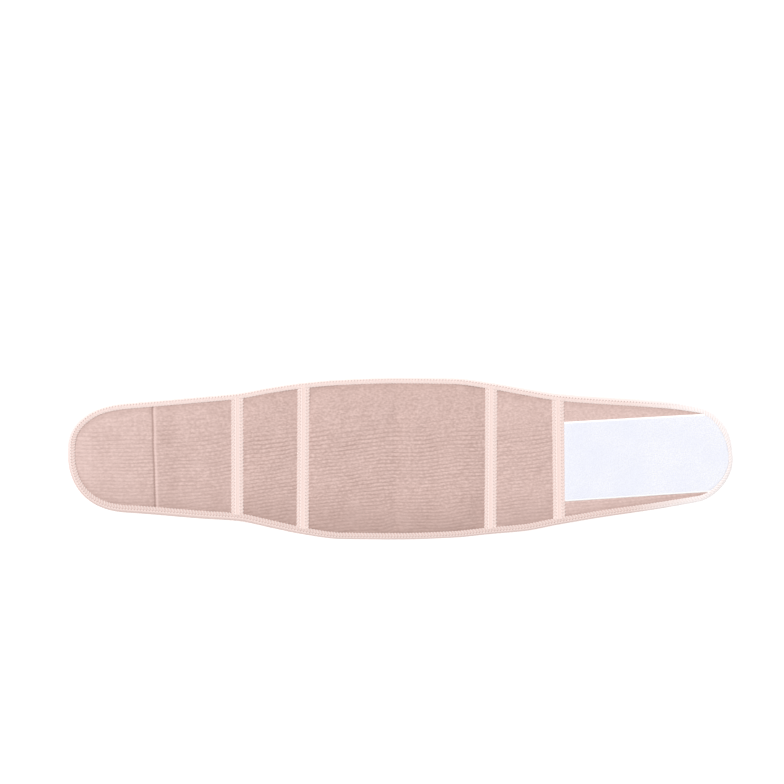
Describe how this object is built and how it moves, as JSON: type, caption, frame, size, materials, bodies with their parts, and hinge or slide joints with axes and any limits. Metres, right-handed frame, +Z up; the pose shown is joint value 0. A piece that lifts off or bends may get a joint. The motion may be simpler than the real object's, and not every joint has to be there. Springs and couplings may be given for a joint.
{
  "type": "lumbar support belt",
  "caption": "Wide soft belt worn round the lower back, with a knitted outer face, a velour inner face and hook-and-loop ends.",
  "frame": {"origin": "on the resting plane, under the middle of the belt's box", "axes": "+X along the belt towards the wing with the loop patch, +Y across it towards the straighter long edge, +Z up out of the knitted outer face"},
  "size_m": [0.85, 0.206, 0.007],
  "materials": {
    "knit": "ribbed elastic knit",
    "velour": "short-pile velour",
    "trim": "woven stretch tape, zigzag stitched",
    "loop": "brushed loop pile",
    "hook": "woven tape with fine hooks"
  },
  "bodies": {
    "root": {"knit_hook_wing": "knit", "knit_hook_side": "knit", "knit_centre": "knit", "knit_loop_side": "knit", "knit_loop_wing": "knit", "loop_patch": "loop", "velour_hook_wing": "velour", "velour_hook_side": "velour", "velour_centre": "velour", "velour_loop_side": "velour", "velour_loop_wing": "velour", "hook_patch": "hook", "outer_tape_1": "trim", "outer_tape_2": "trim", "outer_tape_3": "trim", "outer_tape_4": "trim", "inner_tape_1": "trim", "inner_tape_2": "trim", "inner_tape_3": "trim", "inner_tape_4": "trim", "edge_binding": "trim"}
  },
  "joints": []
}
